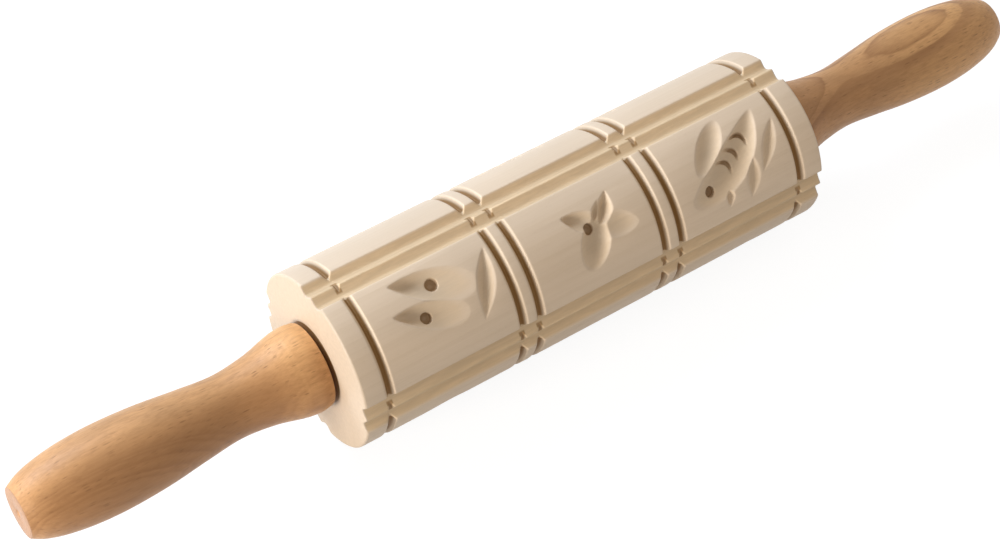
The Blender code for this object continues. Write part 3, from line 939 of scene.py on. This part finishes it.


# How a handle was cut from its log, with distances in metres: the place along the pin that the
# pith is given for, the pith's place there and its drift along the handle; a darker streak, partly
# the wood's heart and partly painted core shade where the surface turns from the light, as its
# angle from the top towards the viewer's side and its darkness; the distances from the pin's
# middle between which paler wood sets in, and its paleness; the distance from the pith where the
# growth lines get clear, and their contrast; the growth lines, as their distances from the pith
# and their darkness, and the step after which they repeat.
Figure = namedtuple("Figure", "middle_x pith drift heart pale clear_from contrast step lines")
FIGURES = {
    "left": Figure(
        middle_x=-0.140, pith=(0.0186, 0.0051), drift=(-0.067, -0.095),
        heart=(radians(66), 0.60), pale=(0.111, 0.097, 0.46), clear_from=0.0285, contrast=0.66,
        step=0.0070, lines=(
            (0.0266, 0.08), (0.0272, 0.40), (0.02735, 0.08), (0.0276, 0.03), (0.0283, 0.60),
            (0.02852, 0.08), (0.0286, 0.06), (0.0290, 0.66), (0.02924, 0.10), (0.0295, 0.02),
            (0.0303, 0.85), (0.03055, 0.12), (0.0310, 0.04), (0.0319, 0.90), (0.03214, 0.14),
            (0.0322, 0.10), (0.0327, 0.72), (0.03292, 0.08), (0.0336, 0.08),
        ),
    ),
    "right": Figure(
        middle_x=0.142, pith=(-0.0022, -0.0400), drift=(-0.041, 0.052),
        heart=(radians(34), 0.28), pale=(0.126, 0.158, 0.62), clear_from=0.0470, contrast=0.95,
        step=0.0080, lines=(
            (0.0463, 0.14), (0.0470, 0.20), (0.0475, 0.12), (0.0482, 0.20), (0.0489, 0.20),
            (0.0499, 0.66), (0.0506, 0.88), (0.0509, 0.85), (0.0511, 0.14), (0.0518, 0.02),
            (0.0522, 0.10), (0.05236, 0.92), (0.0526, 0.66), (0.0530, 0.34), (0.0543, 0.24),
        ),
    ),
}

# How far the growth lines wander, in broad waves and in ripples, and how softly they get clear.
BEECH_WANDER = 0.0005
BEECH_RIPPLE = 0.00012
CLEARING = 0.0016

# The left handle's heart and painted core shade fade towards the handle's end and towards its
# collar, and its pale wood towards its lower side, which paints its top lighter: distances from the
# pin's middle, heights as shares of the radius.
HEART_AND_SHADE_AT_END = (0.191, 0.180, 0.35, 1.0)
HEART_AND_SHADE_AT_COLLAR = (0.098, 0.112, 0.60, 1.0)
PAINTED_TOP_LIGHT_BY_HEIGHT = (-0.5, 0.5, 0.40, 1.0)

# Depths below a handle's end face between which its sawn end grain gives way to the long grain.
SAWN_EDGE = (0.0003, 0.00015)


def distance_from_pith(bench, figure, along, cross, up):
    """Distance from the pith of the log, which wanders a little."""
    from_middle = bench.math("SUBTRACT", along, figure.middle_x)
    squares = []
    for place, pith, drift in zip((cross, up), figure.pith, figure.drift):
        centre = bench.math("ADD", bench.product(from_middle, drift), pith)
        offset = bench.math("SUBTRACT", place, centre)
        squares.append(bench.product(offset, offset))
    distance = bench.math("SQRT", bench.math("ADD", *squares))
    for frequency, reach in (((22, 90), BEECH_WANDER), ((90, 420), BEECH_RIPPLE)):
        wave = bench.ramp(bench.noise(frequency), 0.2, 0.8, -reach, reach, smooth=False)
        distance = bench.math("ADD", distance, wave)
    return distance


def growth_lines(bench, figure, from_pith):
    """Darkness of the growth lines."""
    start = figure.lines[0][0]
    from_start = bench.math("SUBTRACT", from_pith, start)
    growth = bench.add("ShaderNodeValToRGB")
    bench.link(bench.math("FRACT", bench.math("DIVIDE", from_start, figure.step)), growth.inputs[0])
    stops = growth.color_ramp.elements
    while len(stops) < len(figure.lines):
        stops.new(0.5)
    for stop, (distance, darkness) in zip(stops, figure.lines):
        stop.position = (distance - start) / figure.step
        stop.color = (darkness, darkness, darkness, 1.0)
    clearness = bench.ramp(bench.noise((30, 120), detail=1.0), 0.3, 0.7, 0.60, 1.0)
    near_pith = bench.ramp(from_pith, figure.clear_from - CLEARING, figure.clear_from, 0.10, 1.0)
    return bench.product(growth.outputs[0], clearness, near_pith, figure.contrast)


def beech_wood(colours, side_name):
    """Warm wood with growth lines, short dark flecks along the grain, a paler sawn end, a streak of
    heart and painted core shade, and on the left handle a top painted lighter.
    """
    bench = Bench(f"beech_wood_{side_name}")
    figure = FIGURES[side_name]
    from_axis, along, cross, up = distance_from_axis(bench, bench.coordinates())
    from_centre = bench.math("ABSOLUTE", along)

    # A streak darker where the surface faces this angle: partly the wood's heart, partly painted core
    # shade where the light turns away
    heart_and_shade_angle, heart_and_shade_darkness = figure.heart
    towards_viewer = bench.product(cross, -sin(heart_and_shade_angle))
    towards_top = bench.product(up, cos(heart_and_shade_angle))
    facing = bench.math("DIVIDE", bench.math("ADD", towards_viewer, towards_top), from_axis)
    heart = bench.ramp(facing, 0.45, 0.97, 0.0, heart_and_shade_darkness)
    pale_from, pale_to, paleness = figure.pale
    pale = bench.ramp(from_centre, pale_from, pale_to, 0.0, paleness)
    if side_name == "left":
        # Painted light: the pale wood fades towards the lower side, so the top is painted lighter
        height = bench.math("DIVIDE", up, from_axis)
        pale = bench.product(pale, bench.ramp(height, *PAINTED_TOP_LIGHT_BY_HEIGHT))
        for fading in (HEART_AND_SHADE_AT_END, HEART_AND_SHADE_AT_COLLAR):
            heart = bench.product(heart, bench.ramp(from_centre, *fading))

    patches = bench.noise((55, 190), detail=3.0)
    late_wood = growth_lines(bench, figure, distance_from_pith(bench, figure, along, cross, up))
    colour = bench.shades(bench.ramp(patches, 0.30, 0.70), colours.beech, 0.90, 1.08)
    colour = bench.blend(pale, colour, rgba(colours.beech_pale))
    # Painted core shade together with the heart
    colour = bench.blend(heart, colour, rgba(colours.beech_dark))
    colour = bench.blend(late_wood, colour, rgba(colours.beech_dark))

    mottle = bench.noise((260, 900), detail=3.0, roughness=0.6)
    fibres = bench.noise((90, 2200), detail=3.0, roughness=0.6)
    colour = bench.blend(bench.ramp(mottle, 0.42, 0.70, 0.0, 0.26), colour, rgba(colours.beech_dark))
    colour = bench.blend(bench.ramp(fibres, 0.35, 0.75, 0.0, 0.20), colour, rgba(colours.beech_dark))

    # Only some of the cells hold a fleck, and some flecks are fainter than others
    flecks = bench.cells((260, 1500))
    chance = bench.add("ShaderNodeSeparateColor")
    bench.link(flecks["Color"], chance.inputs[0])
    darkness = bench.ramp(chance.outputs[0], 0.70, 1.0, 0.0, 0.70, smooth=False)
    fleck = bench.product(bench.ramp(flecks["Distance"], 0.50, 0.10), darkness)
    colour = bench.blend(fleck, colour, rgba(colours.beech_dark, 0.75))

    end_x = LEFT_HANDLE_LOW.x if side_name == "left" else -LEFT_HANDLE_LOW.x
    to_end = bench.math("ABSOLUTE", bench.math("SUBTRACT", along, end_x))
    end_grain = bench.noise((1, 900), detail=4.0)
    end_colour = bench.shades(bench.ramp(end_grain, 0.35, 0.70), colours.beech_end, 0.86, 1.06)
    colour = bench.blend(bench.ramp(to_end, *SAWN_EDGE), colour, end_colour)

    bench.shader.inputs["Specular IOR Level"].default_value = 0.45
    normal = bench.bump(fibres, 0.00003, 0.6)
    normal = bench.bump(bench.product(fleck, -1.0), 0.00006, 0.6, normal)
    return bench.finish(colour, bench.ramp(fibres, 0.3, 0.8, 0.46, 0.58), normal)


def drawn_steel(colours):
    """Bright rod with fine marks round it."""
    bench = Bench("drawn_steel")
    marks = bench.noise((4000, 60), detail=3.0)
    bench.shader.inputs["Metallic"].default_value = 1.0
    colour = bench.shades(marks, colours.steel, 0.90, 1.05)
    return bench.finish(colour, bench.ramp(marks, 0.3, 0.7, 0.24, 0.38), bench.bump(marks, 0.00001, 0.5))


def moulded_nylon(colours):
    """Dull dark plastic with a fine moulded texture."""
    bench = Bench("moulded_nylon")
    texture = bench.noise((3000, 3000))
    colour = bench.shades(bench.noise((160, 160)), colours.nylon, 0.85, 1.20)
    normal = bench.bump(texture, 0.00003, 0.4)
    return bench.finish(colour, bench.ramp(texture, 0.3, 0.7, 0.45, 0.60), normal)


class PIN_OT_fittings(bpy.types.Operator):
    """Finish the axle and the bushes"""

    bl_idname = "pin.fittings"
    bl_label = "Axle and bushes"

    def execute(self, context):
        colours = context.scene.pin_colours
        nylon = moulded_nylon(colours)
        finishes = {"axle": drawn_steel(colours), "bush_left": nylon, "bush_right": nylon}
        for node, finish in finishes.items():
            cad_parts[node].material_slots[0].material = finish
        return {"FINISHED"}


# Stage
FLOOR_SIZE = 6.0
FLOOR_GAP = 0.0001
PAPER = (0.51, 0.51, 0.505, 1.0)
PAPER_TOOTH = (0.54, 0.54, 0.535, 1.0)
PAPER_TO_CAMERA = (0.19, 0.19, 0.19, 1.0)
FILL_LIGHT = (1.0, 0.95, 0.89, 1.0)
WHITE = (1.0, 1.0, 1.0, 1.0)
COOL_LIGHT = (0.66, 0.80, 1.0)
WARM_LIGHT = (1.0, 0.97, 0.92)
CAMERA_PLACE = (-0.3101, -0.4165, 0.5429)
CAMERA_TURN = (radians(43.0), 0, radians(-34.9))
CAMERA_LENS = 82.97
CAMERA_SENSOR = 36.0


def area_lamp(name, place, size, power, colour):
    """A square soft lamp that is aimed at the pin's middle."""
    bpy.ops.object.select_all(action="DESELECT")
    aim = (-Vector(place)).to_track_quat("-Z", "Y").to_euler()
    bpy.ops.object.light_add(type="AREA", location=place, rotation=aim)
    lamp = named(name)
    lamp.data.size = size
    lamp.data.energy = power
    lamp.data.color = colour


def seen_directly(tree):
    """1 for what the camera and the reflections see, 0 for the light that falls on the pin."""
    paths = tree.nodes.new("ShaderNodeLightPath")
    seen = tree.nodes.new("ShaderNodeMath")
    seen.operation = "MAXIMUM"
    tree.links.new(paths.outputs["Is Camera Ray"], seen.inputs[0])
    tree.links.new(paths.outputs["Is Glossy Ray"], seen.inputs[1])
    return seen.outputs[0]


def floor_paper(glow_strength):
    """White paper, which the camera sees darker and glowing, so that only a faint shadow shows."""
    bench = Bench("floor_paper")
    paper = bench.blend(bench.noise((400, 400), detail=3.0), PAPER, PAPER_TOOTH)
    seen = bench.add("ShaderNodeLightPath").outputs["Is Camera Ray"]
    bench.link(bench.blend(seen, paper, PAPER_TO_CAMERA), bench.shader.inputs["Base Color"])
    bench.shader.inputs["Roughness"].default_value = 0.9
    bench.shader.inputs["Specular IOR Level"].default_value = 0.0
    glow = bench.add("ShaderNodeEmission")
    bench.link(bench.product(seen_directly(bench.tree), glow_strength), glow.inputs["Strength"])
    total = bench.add("ShaderNodeAddShader")
    bench.link(bench.shader.outputs[0], total.inputs[0])
    bench.link(glow.outputs[0], total.inputs[1])
    bench.link(total.outputs[0], bench.tree.nodes["Material Output"].inputs["Surface"])
    return bench.material


def light_air(tree, strength):
    """Even warm light from all round, and white where the camera and the reflections see it."""
    air = tree.nodes["Background"]
    air.inputs["Color"].default_value = FILL_LIGHT
    air.inputs["Strength"].default_value = strength
    bright = tree.nodes.new("ShaderNodeBackground")
    bright.inputs["Color"].default_value = WHITE
    bright.inputs["Strength"].default_value = 1.0
    mix = tree.nodes.new("ShaderNodeMixShader")
    tree.links.new(seen_directly(tree), mix.inputs[0])
    tree.links.new(air.outputs[0], mix.inputs[1])
    tree.links.new(bright.outputs[0], mix.inputs[2])
    tree.links.new(mix.outputs[0], tree.nodes["World Output"].inputs["Surface"])


class PIN_OT_stage(bpy.types.Operator):
    """Lay the floor, hang the lamps and place the camera"""

    bl_idname = "pin.stage"
    bl_label = "Stage"

    def execute(self, context):
        studio = context.scene.pin_studio
        scene = context.scene
        bpy.ops.object.select_all(action="DESELECT")
        bpy.ops.mesh.primitive_plane_add(size=FLOOR_SIZE, location=(0, 0, 0))
        floor = named("floor")
        bpy.ops.object.mode_set(mode="EDIT")
        bpy.ops.mesh.select_all(action="SELECT")
        bpy.ops.transform.translate(value=(0, 0, BARREL_LOW.z - FLOOR_GAP))
        bpy.ops.object.mode_set(mode="OBJECT")
        floor.data.materials.append(floor_paper(studio.floor_glow))

        area_lamp("key_lamp", (-0.90, 0.70, 0.90), 0.45, studio.key_power, COOL_LIGHT)
        area_lamp("back_lamp", (-0.30, 0.60, 0.60), 0.45, studio.back_power, COOL_LIGHT)
        area_lamp("side_lamp", (-1.10, -0.10, 0.20), 0.28, studio.side_power, WARM_LIGHT)

        scene.world = scene.world or bpy.data.worlds.new("studio_world")
        scene.world.use_nodes = True
        light_air(scene.world.node_tree, studio.fill_strength)

        bpy.ops.object.camera_add(location=CAMERA_PLACE, rotation=CAMERA_TURN)
        camera = named("studio_camera")
        camera.data.lens = CAMERA_LENS
        camera.data.sensor_width = CAMERA_SENSOR
        scene.camera = camera
        scene.view_settings.view_transform = "Standard"
        return {"FINISHED"}


class PIN_PT_panel(bpy.types.Panel):
    """Buttons and sizes of the rolling pin"""

    bl_label = "Rolling pin"
    bl_idname = "PIN_PT_panel"
    bl_space_type = "VIEW_3D"
    bl_region_type = "UI"
    bl_category = "Rolling pin"

    def draw(self, context):
        layout = self.layout
        for operator in OPERATORS:
            layout.operator(operator.bl_idname)
        for group in (context.scene.pin_sizes, context.scene.pin_colours, context.scene.pin_studio):
            box = layout.box()
            for key in group.bl_rna.properties.keys():
                if key not in ("rna_type", "name"):
                    box.prop(group, key)


GROUPS = (PinSizes, PinColours, PinStudio)
OPERATORS = (PIN_OT_barrel, PIN_OT_handles, PIN_OT_fittings, PIN_OT_stage)


def register():
    for made in (*GROUPS, *OPERATORS, PIN_PT_panel):
        bpy.utils.register_class(made)
    bpy.types.Scene.pin_sizes = PointerProperty(type=PinSizes)
    bpy.types.Scene.pin_colours = PointerProperty(type=PinColours)
    bpy.types.Scene.pin_studio = PointerProperty(type=PinStudio)


def unregister():
    del bpy.types.Scene.pin_sizes
    del bpy.types.Scene.pin_colours
    del bpy.types.Scene.pin_studio
    for made in reversed((*GROUPS, *OPERATORS, PIN_PT_panel)):
        bpy.utils.unregister_class(made)


def main():
    register()
    bpy.ops.pin.barrel()
    bpy.ops.pin.handles()
    bpy.ops.pin.fittings()
    bpy.ops.pin.stage()


if __name__ == "__main__":
    main()
